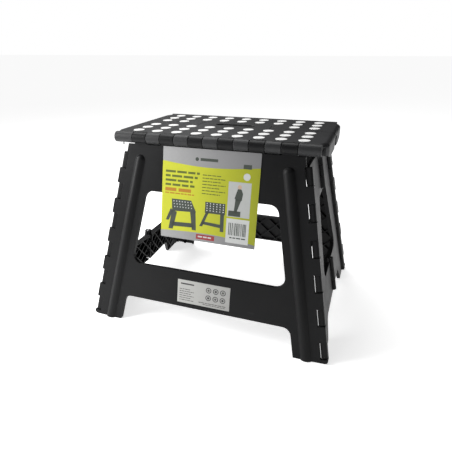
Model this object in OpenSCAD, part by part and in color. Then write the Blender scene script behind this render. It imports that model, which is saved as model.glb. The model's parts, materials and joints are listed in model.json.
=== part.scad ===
// Folding step stool, standing open. Millimetres, +Z up, floor at z = 0.
// The width runs along X, the front faces -Y, and the two halves mirror each other in y = 0.

/* [Seat] */
// Length of the seat from side to side
seat_length = 290; // [280:1:300]
// Height of the seat's surface above the floor, dots included
seat_height = 270; // [262:1:280]
// Distance of each seat hinge from the middle plane
seat_reach = 86.8; // [84:0.2:90]
// Radius of the rolled front edge and of its finger hinge
roll_radius = 7.2; // [6.8:0.1:7.6]
// Length of each finger of the seat hinge
seat_finger = 20.2; // [19:0.1:21]
// Thickness of the seat's top
seat_top = 4; // [3:0.1:4.4]
// Depth of the seat's side walls below the top surface
seat_depth = 21.6; // [18:0.1:21.6]
// Drop of the seat's centre hinge below the outer hinges
centre_drop = 15; // [14:0.1:16]

/* [Grip] */
// Half the width of the hand grip
grip_half = 53; // [48:0.5:53]
// How far the hand grip reaches over the seam
grip_depth = 33; // [31:0.5:34]
// Half the width of the finger slot
slot_half = 29.5; // [25:0.5:32]

/* [Dots] */
// Distance between two columns of dots
dot_pitch = 28.5; // [27:0.1:29]
// Diameter of a dot
dot_width = 14.8; // [12:0.1:16]

/* [Leg frames] */
// Lean of each leg frame from the vertical, in degrees
lean = 11.2; // [10.5:0.1:12]
// Half the width of a leg frame at the height of the seat hinge
frame_half = 125.1; // [122:0.1:127]
// Outward slope of a leg's edges
splay = 0.19; // [0.17:0.01:0.21]
// Width of a leg
leg_width = 46.1; // [42:0.1:48]
// Thickness of the leg frame's plate
plate_depth = 6; // [5:0.1:6]
// Thickness of moulded outer skins
skin = 2.6; // [2:0.1:3]
// Width of the raised rib on a leg
rib_width = 14.5; // [12:0.1:16]
// Height of the raised rib above the leg
rib_height = 3.7; // [2.5:0.1:4]

/* [Side hinges] */
// Radius of the side hinges' barrels
barrel = 4.2; // [3.8:0.1:4.2]
// Radius of the side hinges' rods
rod_radius = 1.5; // [1.2:0.1:1.6]
// Length of one finger along a leg
leg_finger = 22.3; // [22:0.1:22.4]
// Gap between neighbouring hinge fingers
finger_gap = 0.5; // [0.4:0.1:0.7]

/* [Labels] */
// Width of the cardboard label
card_width = 134; // [100:1:140]
// Height of the cardboard label
card_height = 122; // [100:1:124]
// Width of the paper sticker
sticker_width = 77; // [60:1:80]
// Height of the paper sticker
sticker_height = 33.5; // [25:0.5:34]

/* [Hidden] */
$fn = 48;

black = [0.15, 0.15, 0.16];
seat_grey = [0.27, 0.27, 0.29];
steel = [0.7, 0.7, 0.72];
far = 400;

// Seat
dot_proud = 0.4;
dot_sunk = 0.6;
surface_z = seat_height - dot_proud;
hinge_z = surface_z - roll_radius + 0.4;
centre_z = hinge_z - centre_drop;
seat_half_length = seat_length / 2;
roll_half = seat_half_length - 7;
seam = 0.8;
roll_gap = 0.9;
roll_wall = 14.4;
wall_slope = 34;
side_wall = 3.4;
edge_round = 6;
seat_rod = 2;
rod_fit = 0.05;
grip_thick = 6;
slot_near = 4.5;
slot_far = 17.9;
rows = [18.9, 43.7, 68.4];
lap_reach = 20;

// Leg frames: s runs down the frame from the seat hinge, n runs inwards from its front face
barrel_depth = 10.5;
plate_top = 8.3;
floor_s = hinge_z / cos(lean);
edge_half = frame_half - barrel;
splay_angle = atan(splay);
per_s = 1 / cos(splay_angle);
first_finger = 20.2 * per_s;
fingers = 11;
window_s = [70.2, 176.4];
arch_s = 228.5;
wall = 2.4;
lip = 0.25;
notch_root = barrel + 1;
foot_rise = 1.2;

// The side hinges of a leg frame and the middle hinge meet in one point above the seat
apex_s = (seat_reach - barrel_depth * cos(lean)) / sin(lean);
apex_z = hinge_z - barrel_depth * sin(lean) + apex_s * cos(lean);
apex_x = edge_half - splay * apex_s;
side_angle = atan(sin(splay_angle) / (cos(splay_angle) * cos(lean)));
side_spread = asin(cos(splay_angle) * sin(lean));
apex_v = (apex_z - hinge_z) / cos(side_angle);
side_x = apex_x + apex_v * sin(side_angle);
edge_w = apex_v * tan(side_spread);
edge_shift = apex_v / cos(side_spread) - apex_s * per_s;

// Side panels: v runs down the middle hinge, w is the distance from the middle plane
face_in = 0.8;
side_skin = 2.2;
thin_edge = 3.7;
wedge = 3.1;
body_gap = barrel + 0.6;
nose = barrel_depth - 1.8;
middle_gap = 1;
panel_top = 22;
panel_foot = hinge_z / cos(side_angle) - 1.5;
opening_v = [76, 187];
opening_w = [32, 64];
arch_v = panel_foot - 28;
foot_w = 88;
middle_fingers = [[24, 38], [38.5, 55], [55.5, 72], [182.5, 201], [201.5, 219], [219.5, 236]];

// ---------- outlines ----------

function unit(v) = v / norm(v);

// Points of the arc of radius r that rounds corner b between a and c
function corner(a, b, c, r, steps = 6) =
    let (u = unit(a - b), w = unit(c - b),
         half = acos(u * w) / 2,
         o = b + unit(u + w) * r / sin(half),
         p = b + u * r / tan(half) - o,
         q = b + w * r / tan(half) - o,
         start = atan2(p.y, p.x),
         turn = atan2(p.x * q.y - p.y * q.x, p * q))
    [for (i = [0 : steps]) o + r * [cos(start + turn * i / steps), sin(start + turn * i / steps)]];

// A closed outline from [x, y, radius] corners
function rounded(c) =
    let (k = len(c))
    [for (i = [0 : k - 1])
        let (a = c[(i + k - 1) % k], b = c[i], d = c[(i + 1) % k])
        each (b.z > 0 ? corner([a.x, a.y], [b.x, b.y], [d.x, d.y], b.z) : [[b.x, b.y]])];

// Corners moved inwards by t, for corners listed anticlockwise
function inset(c, t) =
    let (k = len(c))
    [for (i = [0 : k - 1])
        let (b = [c[i].x, c[i].y],
             u = unit(b - [c[(i + k - 1) % k].x, c[(i + k - 1) % k].y]),
             w = unit([c[(i + 1) % k].x, c[(i + 1) % k].y] - b),
             bend = u.x * w.y - u.y * w.x,
             m = abs(bend) < 0.001 ? [-u.y, u.x] : (w - u) / bend)
        [b.x + m.x * t, b.y + m.y * t, c[i].z == 0 ? 0 : max(0.3, c[i].z - (bend > 0 ? t : -t))]];

// Extrudes an outline of [x, -s] between depths n0 and n1
module slab(n0, n1)
    translate([0, n1, 0]) rotate([90, 0, 0]) linear_extrude(n1 - n0) children();

// Crossed bars at 45 degrees
module lattice(step, t)
    for (a = [45, -45], i = [-18 : 18])
        rotate(a) translate([i * step - t / 2, -far]) square([t, 2 * far]);

module below_floor()
    translate([-far, -far, -50]) cube([2 * far, 2 * far, 50]);

// ---------- frames of reference ----------

module at_front_frame()
    translate([0, -seat_reach, hinge_z]) rotate([-lean, 0, 0]) children();

// Right edge hinge of the front frame, z up along the rod, origin level with s = 0
module at_frame_edge()
    translate([edge_half, barrel_depth, 0]) rotate([0, -splay_angle, 0]) children();

// Right side plane, x outwards, z up along the middle hinge
module at_side()
    translate([side_x, 0, hinge_z]) rotate([0, -side_angle, 0]) children();

// Edge hinge seen from the rear right panel, same stations along the rod as the frame's
module at_panel_edge()
    translate([0, edge_w, 0]) rotate([side_spread, 0, 0]) translate([0, 0, edge_shift]) children();

module to_rear() mirror([0, 1, 0]) children();

module to_left() mirror([1, 0, 0]) children();

// ---------- leg frames ----------

function outer_x(s) = frame_half + splay * s;
function inner_x(s) = outer_x(s) - leg_width;

function frame_right() = [
    [inner_x(arch_s), -arch_s, 12],
    [inner_x(floor_s + 5), -floor_s - 5, 0],
    [outer_x(floor_s + 5) + lip, -floor_s - 5, 0],
    [outer_x(plate_top) + lip, -plate_top, 3]
];

function frame_outline() = concat(
    frame_right(),
    [for (i = [len(frame_right()) - 1 : -1 : 0])
        [-frame_right()[i].x, frame_right()[i].y, frame_right()[i].z]]);

function window_outline() = [
    [inner_x(window_s[1]), -window_s[1], 13],
    [inner_x(window_s[0]), -window_s[0], 13],
    [-inner_x(window_s[0]), -window_s[0], 13],
    [-inner_x(window_s[1]), -window_s[1], 13]
];

module frame_plate() {
    slab(0, skin) difference() {
        polygon(rounded(frame_outline()));
        polygon(rounded(window_outline()));
    }
    slab(skin, plate_depth) difference() {
        polygon(rounded(frame_outline()));
        polygon(rounded(window_outline()));
        difference() {
            polygon(rounded(inset(frame_outline(), wall)));
            polygon(rounded(inset(window_outline(), -wall)));
            lattice(21, 1.6);
        }
    }
}

// Deep edge of a leg that holds the side hinge's fingers, with the wall behind them
module frame_edge()
    at_frame_edge() translate([0, 0, -300]) linear_extrude(300 - first_finger) {
        circle(barrel);
        polygon([
            [-notch_root - wall, skin - 0.8 - barrel_depth], [barrel, skin - 0.8 - barrel_depth],
            [barrel, 0], [-barrel, 0], [-barrel, plate_depth - 0.4 - barrel_depth],
            [-notch_root - wall, plate_depth - 0.4 - barrel_depth]
        ]);
    }

module leg_rib() {
    rib_r = rib_width * rib_width / (8 * rib_height) + rib_height / 2;
    at_frame_edge() translate([-24, rib_r - rib_height - barrel_depth, 0]) intersection() {
        union() {
            translate([0, 0, -300]) cylinder(r = rib_r, h = 300 - 25);
            translate([0, 0, -25]) sphere(rib_r);
        }
        translate([-far, -far, -far]) cube([2 * far, far - rib_r + rib_height + skin / 2, 2 * far]);
    }
}

// Notches for the panel's fingers; above the first one the edge of the leg is set back
module frame_notches()
    at_frame_edge() {
        for (i = [0 : 2 : fingers - 1])
            translate([-notch_root, -barrel_depth - 1, -first_finger - (i + 1) * leg_finger - finger_gap])
                cube([20, barrel_depth + barrel + 6, leg_finger + 2 * finger_gap]);
        translate([-2.5, -barrel_depth - 1, -first_finger]) cube([20, barrel_depth + barrel + 6, 40]);
    }

module frame_fingers()
    for (m = [0, 1], i = [0 : 2]) mirror([m, 0, 0])
        translate([seat_finger * (0.5 + 2 * i) + roll_gap / 2, 0, 0]) {
            rotate([0, 90, 0]) cylinder(r = roll_radius, h = seat_finger - roll_gap);
            translate([0, 0, -plate_top - 4]) cube([seat_finger - roll_gap, plate_depth, plate_top + 4]);
        }

// Trims the feet along a line that rises slightly towards a round outer corner
module foot_trim() {
    inner = [inner_x(floor_s), -floor_s - 0.8];
    outer = [outer_x(floor_s), -floor_s + foot_rise];
    round_end = corner(inner, outer, [outer_x(200), -200], 4);
    slab(-20, 40) polygon(concat(
        [inner - [60, 0], inner], round_end,
        [round_end[6] + [30, 0], [outer.x + 30, -floor_s - 60], [inner.x - 60, -floor_s - 60]]
    ));
}

module leg_frame()
    color(black) difference() {
        at_front_frame() difference() {
            union() {
                frame_plate();
                for (m = [0, 1]) mirror([m, 0, 0]) {
                    frame_edge();
                    leg_rib();
                }
                frame_fingers();
            }
            for (m = [0, 1]) mirror([m, 0, 0]) {
                frame_notches();
                foot_trim();
                at_frame_edge() translate([0, 0, -300]) cylinder(r = rod_radius + rod_fit, h = 300);
            }
            translate([-far, 0, 0]) rotate([0, 90, 0]) cylinder(r = seat_rod + rod_fit, h = 2 * far);
        }
        below_floor();
    }

module leg_rod()
    color(steel) at_front_frame() at_frame_edge()
        translate([0, 0, -first_finger - fingers * leg_finger + 3])
            cylinder(r = rod_radius, h = fingers * leg_finger - 5);

module seat_hinge_rod()
    color(steel) at_front_frame() translate([-roll_half + 2, 0, 0]) rotate([0, 90, 0])
        cylinder(r = seat_rod, h = 2 * roll_half - 4);

module front_leg_frame() leg_frame();
module rear_leg_frame() to_rear() leg_frame();
module front_seat_rod() seat_hinge_rod();
module rear_seat_rod() to_rear() seat_hinge_rod();
module right_front_leg_rod() leg_rod();
module left_front_leg_rod() to_left() leg_rod();
module right_rear_leg_rod() to_rear() leg_rod();
module left_rear_leg_rod() to_rear() to_left() leg_rod();

// ---------- seat, drawn for the rear half, w along +Y ----------

module seat_outline(t = 0)
    polygon(rounded([
        [seat_half_length - t, seam, 0],
        [seat_half_length - t, seat_reach - 16, 14],
        [roll_half - t, seat_reach, 0],
        [-roll_half + t, seat_reach, 0],
        [-seat_half_length + t, seat_reach - 16, 14],
        [-seat_half_length + t, seam, 0]
    ]));

// A long bar with rounded top edges; its side planes lie half a seat length from the middle
module rounded_bar(half)
    translate([0, -far, 0]) rotate([-90, 0, 0]) linear_extrude(2 * far)
        polygon(rounded([
            [-half, -surface_z, edge_round], [half, -surface_z, edge_round],
            [half, -surface_z + 60, 0], [-half, -surface_z + 60, 0]
        ]));

module seat_blank() {
    taper = atan2(seat_half_length - roll_half, 16);
    corner_half = norm([roll_half, seat_reach]) * cos(atan2(seat_reach, roll_half) - taper);
    difference() {
        intersection() {
            translate([0, 0, surface_z - seat_depth]) linear_extrude(seat_depth) seat_outline();
            rounded_bar(seat_half_length);
            rotate([0, 0, taper]) rounded_bar(corner_half);
            rotate([0, 0, -taper]) rounded_bar(corner_half);
        }
        translate([0, 0, surface_z - seat_depth - 1]) linear_extrude(seat_depth + 1 - seat_top)
            intersection() {
                seat_outline(side_wall);
                translate([-far, -1]) square([2 * far, seat_reach - roll_radius]);
            }
        translate([-far, seat_reach - roll_radius - 1.2, surface_z - seat_depth - 1])
            cube([2 * far, far, seat_depth + 1 - seat_top]);
    }
    translate([-roll_half, seat_reach, hinge_z]) rotate([0, 90, 0])
        cylinder(r = roll_radius, h = 2 * roll_half);
    seat_ribs();
}

// Ribs below the top, clear of the centre hinge
module seat_ribs() {
    low = surface_z - seat_depth + 2;
    high = surface_z - seat_top + 0.5;
    for (x = [-134 : 26.8 : 134])
        translate([x - 0.9, 24, low]) cube([1.8, seat_reach - roll_radius - 25, high - low]);
    for (w = [24, 44, 64])
        translate([-seat_half_length + side_wall - 0.5, w - 0.9, low])
            cube([seat_length - 2 * side_wall + 1, 1.8, high - low]);
}

// The side walls and ribs get shallower towards the roll
module wall_slope_cut()
    translate([-far, 0, 0]) rotate([90, 0, 90]) linear_extrude(2 * far) polygon([
        [seat_reach - roll_radius - wall_slope, surface_z - seat_depth - 1],
        [seat_reach - roll_radius - 1.3, surface_z - roll_wall],
        [seat_reach - roll_radius - 1.1, surface_z - roll_wall],
        [seat_reach - roll_radius - 1.1, surface_z - seat_depth - 1]
    ]);

module seat_fingers_cut()
    for (m = [0, 1], i = [0 : 2]) mirror([m, 0, 0])
        translate([seat_finger * (0.5 + 2 * i) - roll_gap / 2, seat_reach, hinge_z])
            rotate([0, 90, 0]) cylinder(r = roll_radius + 0.6, h = seat_finger + roll_gap);

// Centre hinge finger from x0 to x1, with the web that ties it to the seat
module centre_finger(x0, x1) {
    translate([x0, 0, centre_z]) rotate([0, 90, 0]) cylinder(r = 4.6, h = x1 - x0);
    translate([x0, 0, 0]) rotate([90, 0, 90]) linear_extrude(x1 - x0)
        polygon([[0, centre_z - 4.6], [4, centre_z - 4.6], [24.5, centre_z + 1],
            [24.5, surface_z - seat_top + 0.5], [20, surface_z - seat_top + 0.5], [0, centre_z + 4.6]]);
}

function grip_outline(extra) = rounded([
    [-grip_half - extra, 2, 0], [grip_half + extra, 2, 0],
    [grip_half + extra, -grip_depth - extra, 21], [-grip_half - extra, -grip_depth - extra, 21]
]);

module grip()
    difference() {
        translate([0, 0, surface_z - grip_thick]) linear_extrude(grip_thick)
            polygon(grip_outline(0));
        translate([0, 0, surface_z - 30]) linear_extrude(40) polygon(rounded([
            [-slot_half, -slot_near, 3], [slot_half, -slot_near, 3],
            [slot_half, -slot_far, 9], [-slot_half, -slot_far, 9]
        ]));
    }

function dot_columns(short) = [for (i = [-4 : 4]) if (!short || abs(i) > 2) i * dot_pitch];

module dots(rear, z0, z1, r)
    for (k = [0 : 2], x = dot_columns(rear && k == 0))
        translate([x, rows[k], z0]) cylinder(r = r, h = z1 - z0);

module seat_half(rear)
    color(seat_grey) difference() {
        union() {
            seat_blank();
            for (m = [0, 1], x = rear ? [73, 99] : [60, 86, 112]) mirror([m, 0, 0])
                centre_finger(x, x + 12);
            if (!rear) grip();
        }
        seat_fingers_cut();
        wall_slope_cut();
        translate([-far, seat_reach, hinge_z]) rotate([0, 90, 0])
            cylinder(r = seat_rod + rod_fit, h = 2 * far);
        dots(rear, surface_z - dot_sunk, far, dot_width / 2);
        // The side walls lap past each other at the seam
        for (m = [0, 1]) mirror([m, 0, 0]) seam_lap(rear);
        if (rear) to_rear() translate([0, 0, surface_z - 60]) linear_extrude(80)
            polygon(grip_outline(0.8));
        else for (m = [0, 1], x = [60, 86, 112]) mirror([m, 0, 0])
            translate([x - 1, 0, centre_z]) rotate([0, 90, 0])
                cylinder(r = rod_radius + rod_fit, h = 14);
    }

module seam_lap(rear)
    if (rear)
        translate([seat_half_length - side_wall / 2 - 0.2, -1, 0])
            cube([far, lap_reach + 1, surface_z - edge_round]);
    else
        translate([seat_half_length - side_wall - 3, -1, 0])
            cube([side_wall / 2 + 3.2, lap_reach + 1, surface_z - seat_top]);

module front_seat_half() to_rear() seat_half(false);
module rear_seat_half() seat_half(true);
module front_grip_dots()
    color("white") to_rear() dots(false, surface_z - dot_sunk, seat_height, dot_width / 2);
module rear_grip_dots()
    color("white") dots(true, surface_z - dot_sunk, seat_height, dot_width / 2);
module seat_centre_pins()
    color(steel) for (m = [0, 1], x = [60, 86, 112]) mirror([m, 0, 0])
        translate([x - 0.4, 0, centre_z]) rotate([0, 90, 0]) cylinder(r = rod_radius, h = 12.8);

// ---------- side panels, drawn for the rear right, w along +Y ----------

function edge_at(v) = edge_w + v * tan(side_spread) - body_gap / cos(side_spread);

function panel_outline() = [
    [middle_gap, -panel_top, 1.5],
    [middle_gap, -opening_v[0], 2],
    [opening_w[0], -opening_v[0], 8],
    [opening_w[1], -opening_v[1], 12],
    [middle_gap, -opening_v[1], 2],
    [middle_gap, -arch_v, 2],
    [foot_w - 16, -arch_v, 14],
    [foot_w, -panel_foot, 2],
    [edge_at(panel_foot), -panel_foot, 2],
    [edge_at(panel_top), -panel_top, 2]
];

// Extrudes an outline of [w, -v] between the depths x0 and x1
module side_slab(x0, x1)
    translate([x0, 0, 0]) rotate([90, 0, 90]) linear_extrude(x1 - x0) children();

module panel_body()
    difference() {
        union() {
            side_slab(-face_in - side_skin, -face_in) polygon(rounded(panel_outline()));
            side_slab(-14, -face_in - side_skin) difference() {
                polygon(rounded(panel_outline()));
                difference() {
                    polygon(rounded(inset(panel_outline(), 2)));
                    lattice(14, 1.4);
                }
            }
        }
        // The inner side tapers towards the leg so that the folded panel lies flat behind it
        at_panel_edge() rotate([0, 0, -wedge]) translate([-thin_edge - 30, -far, -far])
            cube([30, 2 * far, 2 * far]);
    }

module middle_finger(f)
    translate([0, 0, -f[1]]) {
        cylinder(r = barrel, h = f[1] - f[0]);
        translate([-3.4, 0, 0]) cube([3.4, body_gap + 2, f[1] - f[0]]);
    }

// Section of an edge finger: a barrel on an arm, with a nose that fills the leg's notch
module edge_finger() {
    circle(barrel);
    translate([-thin_edge, -body_gap - 3]) square([thin_edge - 0.2, body_gap + 3]);
    polygon(rounded([[0.2 - barrel, 0, 0], [barrel, 0, 0], [barrel, nose, 3], [0.2 - barrel, nose, 0.8]]));
}

module side_panel(rear)
    color(black) at_side() difference() {
        union() {
            difference() {
                panel_body();
                for (i = [0 : 5]) if ((i % 2 == 0) == rear)
                    translate([-20, -1, -middle_fingers[i][1] - finger_gap])
                        cube([30, body_gap + 2, middle_fingers[i][1] - middle_fingers[i][0] + 2 * finger_gap]);
            }
            for (i = [0 : 5]) if ((i % 2 == 1) == rear) middle_finger(middle_fingers[i]);
            at_panel_edge() for (i = [0 : 2 : fingers - 1])
                translate([0, 0, -first_finger - (i + 1) * leg_finger + finger_gap / 2])
                    linear_extrude(leg_finger - finger_gap) edge_finger();
        }
        translate([0, 0, -300]) cylinder(r = rear ? 2.9 : rod_radius + rod_fit, h = 300);
        at_panel_edge() translate([0, 0, -300]) cylinder(r = rod_radius + rod_fit, h = 300);
        translate([-50, -10, -panel_foot - 30]) cube([100, 200, 30]);
    }

module side_rods()
    color(steel) at_side() for (v = [[24.5, 71.5], [183, 235.5]])
        translate([0, 0, -v[1]]) cylinder(r = rod_radius, h = v[1] - v[0]);

module right_front_panel() to_rear() side_panel(false);
module right_rear_panel() side_panel(true);
module left_front_panel() to_left() to_rear() side_panel(false);
module left_rear_panel() to_left() side_panel(true);
module right_side_rods() side_rods();
module left_side_rods() to_left() side_rods();

// ---------- labels ----------

module card_label()
    color([0.8, 0.82, 0.3]) at_front_frame()
        slab(-0.6, 0) translate([-card_width / 2, -plate_top - card_height]) square([card_width, card_height]);

module crossbar_sticker()
    color([0.85, 0.85, 0.87]) at_front_frame()
        slab(-0.25, 0) translate([-sticker_width / 2, -222]) square([sticker_width, sticker_height]);

front_leg_frame();
rear_leg_frame();
front_seat_half();
rear_seat_half();
right_front_panel();
right_rear_panel();
left_front_panel();
left_rear_panel();
front_grip_dots();
rear_grip_dots();
front_seat_rod();
rear_seat_rod();
seat_centre_pins();
right_front_leg_rod();
right_rear_leg_rod();
left_front_leg_rod();
left_rear_leg_rod();
right_side_rods();
left_side_rods();
card_label();
crossbar_sticker();
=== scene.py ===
"""Looks of the folding step stool: moulded plastic, white dots, printed card and sticker."""

import json
import math
import random

import bpy
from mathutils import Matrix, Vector

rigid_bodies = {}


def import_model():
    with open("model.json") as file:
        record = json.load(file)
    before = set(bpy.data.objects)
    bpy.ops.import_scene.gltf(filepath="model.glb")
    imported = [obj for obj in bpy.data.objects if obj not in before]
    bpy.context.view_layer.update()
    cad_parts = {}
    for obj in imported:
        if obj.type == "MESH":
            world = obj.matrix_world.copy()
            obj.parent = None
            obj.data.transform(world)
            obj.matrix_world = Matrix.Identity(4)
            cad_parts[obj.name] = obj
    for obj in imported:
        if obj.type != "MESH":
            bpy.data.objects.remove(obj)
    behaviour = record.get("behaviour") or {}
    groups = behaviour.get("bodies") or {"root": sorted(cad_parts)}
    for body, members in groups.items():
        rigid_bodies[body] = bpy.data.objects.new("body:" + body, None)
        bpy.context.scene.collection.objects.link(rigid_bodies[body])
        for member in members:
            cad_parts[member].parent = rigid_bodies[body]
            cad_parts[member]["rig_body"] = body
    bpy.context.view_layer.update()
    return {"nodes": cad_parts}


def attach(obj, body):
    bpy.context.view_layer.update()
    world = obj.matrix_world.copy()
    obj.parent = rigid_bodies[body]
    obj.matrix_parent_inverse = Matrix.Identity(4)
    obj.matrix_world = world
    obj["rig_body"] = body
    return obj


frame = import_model()
nodes = frame["nodes"]

MM = 0.001


# ---------- node helpers ----------


class Finish:
    """A procedural material under construction, with one Principled shader."""

    def __init__(self, name):
        self.material = bpy.data.materials.new(name)
        self.material.use_nodes = True
        self.tree = self.material.node_tree
        self.shader = self.tree.nodes["Principled BSDF"]
        self.object_point = self.add("ShaderNodeTexCoord").outputs["Object"]

    def add(self, kind, **settings):
        node = self.tree.nodes.new(kind)
        for key, value in settings.items():
            setattr(node, key, value)
        return node

    def link(self, source, target):
        self.tree.links.new(source, target)

    def feed(self, node, **values):
        """Sets a node's inputs by name, underscores for spaces; a socket is linked, a number is set."""
        for key, value in values.items():
            socket = node.inputs[key.replace("_", " ")]
            if isinstance(value, bpy.types.NodeSocket):
                self.link(value, socket)
            else:
                socket.default_value = value
        return node

    def stretched(self, scale):
        """Object coordinates scaled by a vector, for brushed or streaky patterns."""
        node = self.add("ShaderNodeVectorMath", operation="MULTIPLY")
        self.link(self.object_point, node.inputs[0])
        node.inputs[1].default_value = scale
        return node.outputs[0]

    def noise(self, size, detail=2.0, vector=None, roughness=0.5):
        """Noise whose features are about size metres across, 0 to 1."""
        node = self.feed(
            self.add("ShaderNodeTexNoise"),
            Vector=vector or self.object_point,
            Scale=1 / size,
            Detail=detail,
            Roughness=roughness,
        )
        return node.outputs["Fac"]

    def cells(self, size):
        node = self.feed(
            self.add("ShaderNodeTexVoronoi"), Vector=self.object_point, Scale=1 / size
        )
        return node.outputs["Distance"]

    def spread(self, value, low, high, to_low, to_high):
        """Maps low..high to to_low..to_high and clamps."""
        node = self.add("ShaderNodeMapRange")
        self.link(value, node.inputs["Value"])
        for key, number in zip(
            ("From Min", "From Max", "To Min", "To Max"), (low, high, to_low, to_high)
        ):
            node.inputs[key].default_value = number
        return node.outputs["Result"]

    def math(self, operation, a, b):
        node = self.add("ShaderNodeMath", operation=operation)
        for socket, value in zip(node.inputs, (a, b)):
            if isinstance(value, bpy.types.NodeSocket):
                self.link(value, socket)
            else:
                socket.default_value = value
        return node.outputs[0]

    def mix(self, factor, a, b):
        """Colour a where factor is 0 and b where it is 1."""
        node = self.add("ShaderNodeMix", data_type="RGBA")
        self.link(factor, node.inputs["Factor"])
        for socket, value in zip((node.inputs[6], node.inputs[7]), (a, b)):
            if isinstance(value, bpy.types.NodeSocket):
                self.link(value, socket)
            else:
                socket.default_value = (*value, 1)
        return node.outputs[2]

    def bump(self, height, depth, normal=None):
        """A bump of depth metres for a height of 0 to 1."""
        node = self.feed(self.add("ShaderNodeBump"), Height=height, Distance=depth, Strength=1.0)
        if normal is not None:
            self.link(normal, node.inputs["Normal"])
        return node.outputs["Normal"]

    def soft_edge(self, radius):
        """Normals that run round sharp edges, and a mask that is 1 on those edges."""
        bevel = self.feed(self.add("ShaderNodeBevel", samples=6), Radius=radius)
        turn = self.add("ShaderNodeVectorMath", operation="DOT_PRODUCT")
        self.link(bevel.outputs["Normal"], turn.inputs[0])
        self.link(self.add("ShaderNodeNewGeometry").outputs["Normal"], turn.inputs[1])
        return bevel.outputs["Normal"], self.spread(turn.outputs["Value"], 0.995, 0.8, 0, 1)


def grey(value, tint=0.0):
    """A grey, slightly blue for a positive tint."""
    return (value * (1 - tint), value * (1 - tint / 2), value * (1 + tint))


# ---------- materials ----------


def moulded_plastic(name, shade, rough, grain, edge, worn, shine):
    """Matt moulded plastic: eroded grain, cloudy colour, faint scuffs and rubbed edges."""
    f = Finish(name)
    cloud = f.noise(0.06, detail=4)
    patch = f.noise(0.018, detail=3)
    fine = f.noise(grain, detail=3, roughness=0.6)
    pits = f.cells(grain * 2.2)
    scuff = f.spread(f.noise(1.0, detail=5, vector=f.stretched((60, 420, 90))), 0.66, 0.76, 0, 1)
    normal, on_edge = f.soft_edge(edge)
    colour = f.mix(cloud, grey(shade * 0.8, 0.02), grey(shade * 1.25, 0.04))
    colour = f.mix(f.spread(pits, 0.05, 0.5, 0.25, 0), colour, grey(shade * 0.55, 0.02))
    colour = f.mix(f.math("MULTIPLY", scuff, 0.22), colour, grey(shade * 2.6 + 0.01, 0.02))
    rubbed = f.math("MULTIPLY", on_edge, f.spread(patch, 0.35, 0.7, 0.15, worn))
    colour = f.mix(rubbed, colour, grey(shade * 2.2 + 0.02, 0.03))
    relief = f.bump(f.noise(0.03, detail=1), 0.00025, normal)
    relief = f.bump(f.math("ADD", fine, f.math("MULTIPLY", pits, 0.5)), grain * 0.1, relief)
    f.feed(
        f.shader,
        Base_Color=colour,
        Roughness=f.spread(f.math("ADD", patch, fine), 0.6, 1.4, rough - 0.07, rough + 0.08),
        Normal=relief,
    )
    f.shader.inputs["Specular IOR Level"].default_value = shine
    return f.material


def dot_rubber():
    """Soft white inlays with a little grime, and darker at their rims."""
    f = Finish("dot_rubber")
    normal, on_edge = f.soft_edge(0.0007)
    dirt = f.spread(f.noise(0.012, detail=4), 0.45, 0.75, 0, 0.35)
    colour = f.mix(dirt, (0.86, 0.86, 0.85), (0.7, 0.7, 0.69))
    colour = f.mix(f.math("MULTIPLY", on_edge, 0.5), colour, (0.42, 0.42, 0.42))
    f.feed(
        f.shader,
        Base_Color=colour,
        Roughness=f.spread(f.noise(0.004), 0.3, 0.7, 0.5, 0.66),
        Normal=f.bump(f.noise(0.0006, detail=3), 0.00006, normal),
    )
    f.shader.inputs["Specular IOR Level"].default_value = 0.4
    return f.material


def drawn_steel():
    """Bright metal with fine streaks."""
    f = Finish("drawn_steel")
    streaks = f.noise(1.0, detail=4, vector=f.stretched((3000, 3000, 60)))
    f.feed(
        f.shader,
        Base_Color=f.mix(streaks, (0.42, 0.42, 0.43), (0.6, 0.6, 0.61)),
        Roughness=f.spread(streaks, 0.2, 0.8, 0.22, 0.42),
        Normal=f.bump(streaks, 0.00002),
    )
    f.shader.inputs["Metallic"].default_value = 1.0
    return f.material


def ink(name, near, far, low=0.0, high=1.0, rough=0.42):
    """Print on coated board: colour runs from near at x = low to far at x = high, a painted light
    falloff from the left with a little print tone.
    """
    f = Finish(name)
    side = f.add("ShaderNodeSeparateXYZ")
    f.link(f.object_point, side.inputs[0])
    # painted light falloff, lighter to the left, with a little print tone
    light_falloff_and_print_tone = f.spread(side.outputs["X"], low, high, 0, 1)
    mottle = f.spread(f.noise(0.004, detail=4), 0.3, 0.7, 0, 0.12)
    colour = f.mix(mottle, f.mix(light_falloff_and_print_tone, near, far), tuple(c * 0.6 for c in near))
    fibres = f.noise(1.0, detail=3, vector=f.stretched((900, 500, 260)))
    f.feed(
        f.shader,
        Base_Color=colour,
        Roughness=f.spread(fibres, 0.3, 0.7, rough - 0.06, rough + 0.1),
        Normal=f.bump(fibres, 0.00003),
    )
    f.shader.inputs["Specular IOR Level"].default_value = 0.35
    return f.material


def floor_finish():
    """Pale floor that glows, more so away from the lamps, so that it stays even."""
    f = Finish("studio_floor")
    tone = f.noise(0.5, detail=2)
    away = f.add("ShaderNodeVectorMath", operation="LENGTH")
    f.link(f.object_point, away.inputs[0])
    f.feed(
        f.shader,
        Base_Color=f.mix(tone, (0.93, 0.93, 0.93), (0.96, 0.96, 0.96)),
        Roughness=f.spread(tone, 0.3, 0.7, 0.7, 0.8),
        Emission_Strength=f.spread(away.outputs["Value"], 0.3, 1.3, 0.7, 0.92),
    )
    f.shader.inputs["Emission Color"].default_value = (1, 1, 1, 1)
    f.shader.inputs["Specular IOR Level"].default_value = 0.1
    return f.material


def dress(names, material):
    """Gives the named nodes one material and one slot."""
    for name in names:
        node = nodes[name]
        node.data.materials.clear()
        node.data.materials.append(material)


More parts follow.
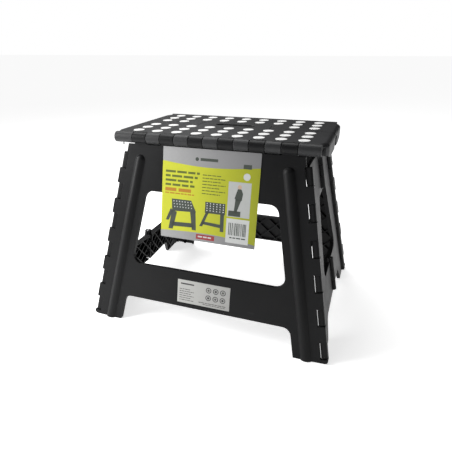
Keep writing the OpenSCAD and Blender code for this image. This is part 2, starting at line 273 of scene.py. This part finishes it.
legs = moulded_plastic("leg_plastic", 0.0085, 0.42, 0.0005, 0.0007, 0.75, 0.13)
# the seat is the legs' black plastic painted lighter: painted light on the seat top, and its contrast
# with the leg fingers on the roll is painted shade for the gaps between them
seat_painted_lighter = moulded_plastic("seat_plastic", 0.022, 0.48, 0.0012, 0.0009, 0.6, 0.24)
dress([n for n in nodes if n.endswith(("leg_frame", "panel"))], legs)
dress([n for n in nodes if n.endswith("seat_half")], seat_painted_lighter)
dress([n for n in nodes if n.endswith("grip_dots")], dot_rubber())
dress([n for n in nodes if n.endswith(("rod", "rods", "pins"))], drawn_steel())


# ---------- printed labels ----------


class Sheet:
    """Print on the outer face of a label, u to the right and v down, in parts of its size."""

    LIFT = 0.03 * MM

    def __init__(self, node, inks):
        mesh = nodes[node].data
        face = max(
            (p for p in mesh.polygons if p.normal.y < 0), key=lambda p: p.area
        )
        self.node, self.out = node, face.normal.copy()
        self.right = Vector((1, 0, 0))
        self.down = self.right.cross(self.out).normalized()
        if self.down.z > 0:
            self.down.negate()
        points = [v.co for v in mesh.vertices]
        self.wide = [min(p.dot(self.right) for p in points), max(p.dot(self.right) for p in points)]
        self.tall = [min(p.dot(self.down) for p in points), max(p.dot(self.down) for p in points)]
        self.front = max(p.dot(self.out) for p in points)
        self.width = self.wide[1] - self.wide[0]
        self.height = self.tall[1] - self.tall[0]
        self.inks = inks
        self.vertices, self.faces, self.colours = [], [], []

    def shape(self, colour, points, layer=1):
        """A flat polygon of [u, v] points."""
        start = len(self.vertices)
        for u, v in points:
            self.vertices.append(
                self.right * (self.wide[0] + u * self.width)
                + self.down * (self.tall[0] + v * self.height)
                + self.out * (self.front + layer * self.LIFT)
            )
        self.faces.append(list(range(start, len(self.vertices))))
        self.colours.append(list(self.inks).index(colour))

    def block(self, colour, u0, v0, u1, v1, layer=1):
        self.shape(colour, [(u0, v0), (u0, v1), (u1, v1), (u1, v0)], layer)

    def disc(self, colour, u, v, radius, layer=1, hole=0.0, steps=28):
        """A disc of radius parts of the width, or a ring where hole is above 0."""
        squash = self.width / self.height
        turns = [2 * math.pi * i / steps for i in range(steps + 1)]
        rim = [(u + radius * math.cos(a), v - radius * squash * math.sin(a)) for a in turns]
        if not hole:
            self.shape(colour, rim[:-1], layer)
            return
        inner = [(u + hole * math.cos(a), v - hole * squash * math.sin(a)) for a in turns]
        for i in range(steps):
            self.shape(colour, [inner[i], rim[i], rim[i + 1], inner[i + 1]], layer)

    def words(self, colour, u0, u1, v, size, seed, layer=2):
        """A row of blocks about as long as words."""
        draw = random.Random(seed)
        u = u0
        while u < u1 - size:
            end = min(u1, u + size * draw.uniform(2.0, 5.5))
            self.block(colour, u, v, end, v + size * self.width / self.height, layer)
            u = end + size * 0.7

    def piece(self, name):
        mesh = bpy.data.meshes.new(name)
        mesh.from_pydata(self.vertices, [], self.faces)
        for material in self.inks.values():
            mesh.materials.append(material)
        for polygon, colour in zip(mesh.polygons, self.colours):
            polygon.material_index = colour
        mesh.update()
        for polygon in mesh.polygons:
            if polygon.normal.dot(self.out) < 0:
                polygon.flip()
        mesh.update()
        made = bpy.data.objects.new(name, mesh)
        bpy.context.scene.collection.objects.link(made)
        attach(made, nodes[self.node]["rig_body"])
        return made


def placed(u, v, w, h):
    """Maps the points of a little picture into the place at u, v that is w wide and h high."""

    def at(*points):
        return [(u + w * x, v + h * y) for x, y in points]

    return at


def stool_picture(sheet, u, v, w, h, layer=3):
    """A small stool seen from the front left, w wide and h high."""
    at = placed(u, v, w, h)

    sheet.shape("dark", at((0.16, 0.3), (0.0, 0.72), (0.1, 0.72), (0.22, 0.42)), layer)
    sheet.shape("dark", at((0.18, 0.0), (0.2, 0.4), (0.97, 0.36), (0.8, 0.0)), layer)
    sheet.shape("dark", at((0.2, 0.36), (0.1, 1.0), (0.24, 1.0), (0.36, 0.42)), layer)
    sheet.shape("dark", at((0.78, 0.36), (0.86, 0.95), (0.99, 0.95), (0.95, 0.34)), layer)
    sheet.shape("dark", at((0.2, 0.76), (0.18, 0.9), (0.9, 0.87), (0.88, 0.73)), layer)
    for row in range(3):
        for column in range(7):
            x = 0.25 + 0.09 * column + 0.015 * row
            sheet.disc("pale", u + w * x, v + h * (0.07 + 0.09 * row), 0.006, layer + 1, steps=8)


def folded_picture(sheet, u, v, w, h, layer=3):
    """A small stool seen straight on, w wide and h high."""
    at = placed(u, v, w, h)

    sheet.shape("dark", at((0.2, 0.04), (0.2, 0.42), (1.0, 0.42), (1.0, 0.04)), layer)
    sheet.shape("dark", at((0.24, 0.4), (0.0, 0.9), (0.12, 0.9), (0.36, 0.4)), layer)
    sheet.shape("dark", at((0.82, 0.4), (0.84, 1.0), (0.98, 1.0), (0.97, 0.4)), layer)
    sheet.shape("dark", at((0.14, 0.72), (0.1, 0.82), (0.9, 0.88), (0.88, 0.76)), layer)
    for row in range(4):
        for column in range(6):
            x = 0.28 + 0.13 * column
            sheet.disc("pale", u + w * x, v + h * (0.09 + 0.08 * row), 0.006, layer + 1, steps=8)


def helper_picture(sheet, u, v, w, h, layer=3):
    """A plain standing figure on a block, w wide and h high."""
    at = placed(u, v, w, h)

    sheet.disc("skin", u + w * 0.5, v + h * 0.11, w * 0.09, layer)
    sheet.shape(
        "dark",
        at((0.42, 0.17), (0.3, 0.45), (0.36, 0.5), (0.62, 0.5), (0.66, 0.3), (0.58, 0.17)),
        layer,
    )
    sheet.shape("dark", at((0.34, 0.48), (0.3, 0.86), (0.42, 0.86), (0.6, 0.48)), layer)
    sheet.block("dark", u + w * 0.06, v + h * 0.82, u + w * 0.6, v + h * 0.98, layer)


def card_print():
    """Generic print of the hang card: bars for words, two small stools and a figure."""
    inks = {
        # the yellow's bright left and olive right are mostly painted light falloff, partly print tone
        "yellow": ink("ink_yellow", (0.5, 0.52, 0.03), (0.25, 0.27, 0.012), -0.03, 0.07),
        "dark": ink("ink_dark", (0.05, 0.06, 0.05), (0.04, 0.045, 0.04)),
        "green": ink("ink_green", (0.1, 0.125, 0.018), (0.08, 0.1, 0.015)),
        "orange": ink("ink_orange", (0.4, 0.18, 0.015), (0.4, 0.18, 0.015)),
        "red": ink("ink_red", (0.28, 0.035, 0.04), (0.24, 0.03, 0.035)),
        "pale": ink("ink_pale", (0.5, 0.51, 0.5), (0.42, 0.42, 0.42)),
        "grey": ink("ink_grey", (0.4, 0.41, 0.4), (0.36, 0.37, 0.36)),
        "skin": ink("ink_skin", (0.45, 0.33, 0.25), (0.45, 0.33, 0.25)),
    }
    s = Sheet("card_label", inks)
    steps = 24
    top = [(i / steps, 0.15 + 0.04 * math.sin(math.pi * i / steps)) for i in range(steps + 1)]
    foot = [(u, 0.925 - 0.03 * math.sin(2.2 * u) + 0.06 * u**3) for u, _ in top]
    s.shape("yellow", top + foot[::-1])
    s.block("dark", 0.4, 0.095, 0.58, 0.125, 2)
    s.disc("dark", 0.365, 0.11, 0.018, 2)
    for i, v in enumerate((0.25, 0.298, 0.346, 0.394)):
        s.words("green", 0.035, (0.4, 0.38, 0.33, 0.35)[i], v, 0.022, seed=i)
    s.words("orange", 0.035, 0.36, 0.44, 0.034, seed=11)
    s.words("orange", 0.035, 0.35, 0.492, 0.012, seed=12)
    for i in range(7):
        s.words("green", 0.43, 0.62 + 0.05 * (i % 2), 0.265 + 0.033 * i, 0.009, seed=20 + i)
    s.block("dark", 0.835, 0.125, 0.915, 0.17, 2)
    s.disc("pale", 0.875, 0.25, 0.034, 2)
    s.block("grey", 0.7, 0.31, 0.925, 0.68, 2)
    helper_picture(s, 0.7, 0.32, 0.225, 0.36)
    stool_picture(s, 0.05, 0.56, 0.34, 0.34)
    folded_picture(s, 0.42, 0.54, 0.26, 0.32)
    s.block("pale", 0.7, 0.7, 0.93, 0.965, 2)
    draw, u = random.Random(5), 0.725
    while u < 0.9:
        width = draw.uniform(0.003, 0.01)
        s.block("dark", u, 0.745, u + width, 0.88, 3)
        u += width + draw.uniform(0.004, 0.01)
    s.words("dark", 0.74, 0.9, 0.9, 0.012, seed=31, layer=3)
    s.block("red", 0.39, 0.92, 0.585, 0.975, 2)
    s.words("pale", 0.41, 0.57, 0.938, 0.014, seed=41, layer=3)
    s.piece("card_print")


def sticker_print():
    """Generic print of the sticker: bars for words and six plain ring icons."""
    inks = {
        "dark": ink("sticker_dark", (0.05, 0.05, 0.05), (0.05, 0.05, 0.05)),
        "mid": ink("sticker_mid", (0.09, 0.09, 0.085), (0.08, 0.08, 0.075)),
    }
    s = Sheet("crossbar_sticker", inks)
    s.block("dark", 0.06, 0.13, 0.32, 0.19, 2)
    for i in range(6):
        s.words("mid", 0.04, 0.26 + 0.06 * (i % 2), 0.38 + 0.095 * i, 0.013, seed=50 + i)
    for row, v in enumerate((0.27, 0.6)):
        for column in range(3):
            u = 0.6 + 0.135 * column
            s.disc("dark", u, v, 0.052, 2, hole=0.038)
            s.disc("dark" if (row + column) % 2 else "mid", u, v, 0.022, 2)
    s.words("mid", 0.42, 0.94, 0.83, 0.014, seed=60)
    s.words("mid", 0.5, 0.92, 0.9, 0.012, seed=61)
    s.piece("sticker_print")


# board and sticker paper are painted lighter at the left and darker at the right: painted light
# falloff, partly their own tone
board = ink("card_board", (0.32, 0.32, 0.32), (0.165, 0.165, 0.17), -0.06, 0.07)
paper = ink("sticker_paper", (0.45, 0.45, 0.43), (0.33, 0.33, 0.32), -0.04, 0.04)
dress(["card_label"], board)
dress(["crossbar_sticker"], paper)
card_print()
sticker_print()


# ---------- studio ----------


def floor():
    """A wide floor just below the feet."""
    size = 30
    drop = 0.3 * MM
    mesh = bpy.data.meshes.new("floor")
    corners = [(-size, -size, 0), (size, -size, 0), (size, size, 0), (-size, size, 0)]
    mesh.from_pydata(corners, [], [(0, 1, 2, 3)])
    mesh.materials.append(floor_finish())
    made = bpy.data.objects.new("floor", mesh)
    made.location.z = -drop
    bpy.context.scene.collection.objects.link(made)


def aim(obj, target):
    obj.rotation_euler = (Vector(target) - obj.location).to_track_quat("-Z", "Y").to_euler()


def softbox(name, place, target, size, power):
    data = bpy.data.lights.new(name, "AREA")
    data.shape = "RECTANGLE"
    data.size, data.size_y = size
    data.energy = power
    light = bpy.data.objects.new(name, data)
    light.location = place
    aim(light, target)
    bpy.context.scene.collection.objects.link(light)


def surround(strength):
    """Soft light from all round at strength; the backdrop itself looks white."""
    world = bpy.data.worlds.new("studio")
    bpy.context.scene.world = world
    world.use_nodes = True
    tree = world.node_tree
    background = tree.nodes["Background"]
    background.inputs["Color"].default_value = (1, 1, 1, 1)
    seen = tree.nodes.new("ShaderNodeLightPath").outputs["Is Camera Ray"]
    level = tree.nodes.new("ShaderNodeMapRange")
    level.inputs["To Min"].default_value = strength
    level.inputs["To Max"].default_value = 1.0
    tree.links.new(seen, level.inputs["Value"])
    tree.links.new(level.outputs["Result"], background.inputs["Strength"])


def camera():
    data = bpy.data.cameras.new("camera")
    data.lens, data.sensor_width = 32.75, 36
    data.clip_start = 0.01
    made = bpy.data.objects.new("camera", data)
    made.location = (0.1894, -0.5714, 0.3710)
    made.rotation_euler = (math.radians(66.82), math.radians(0.055), math.radians(19.305))
    bpy.context.scene.collection.objects.link(made)
    bpy.context.scene.camera = made


floor()
surround(0.03)
softbox("key", (-0.56, -0.36, 0.42), (-0.12, -0.1, 0.15), (0.3, 0.5), 6.3)
softbox("top", (-0.4, 0.34, 1.2), (0, 0.05, 0.2), (1.1, 1.1), 16)
camera()
bpy.context.scene.view_settings.view_transform = "Standard"
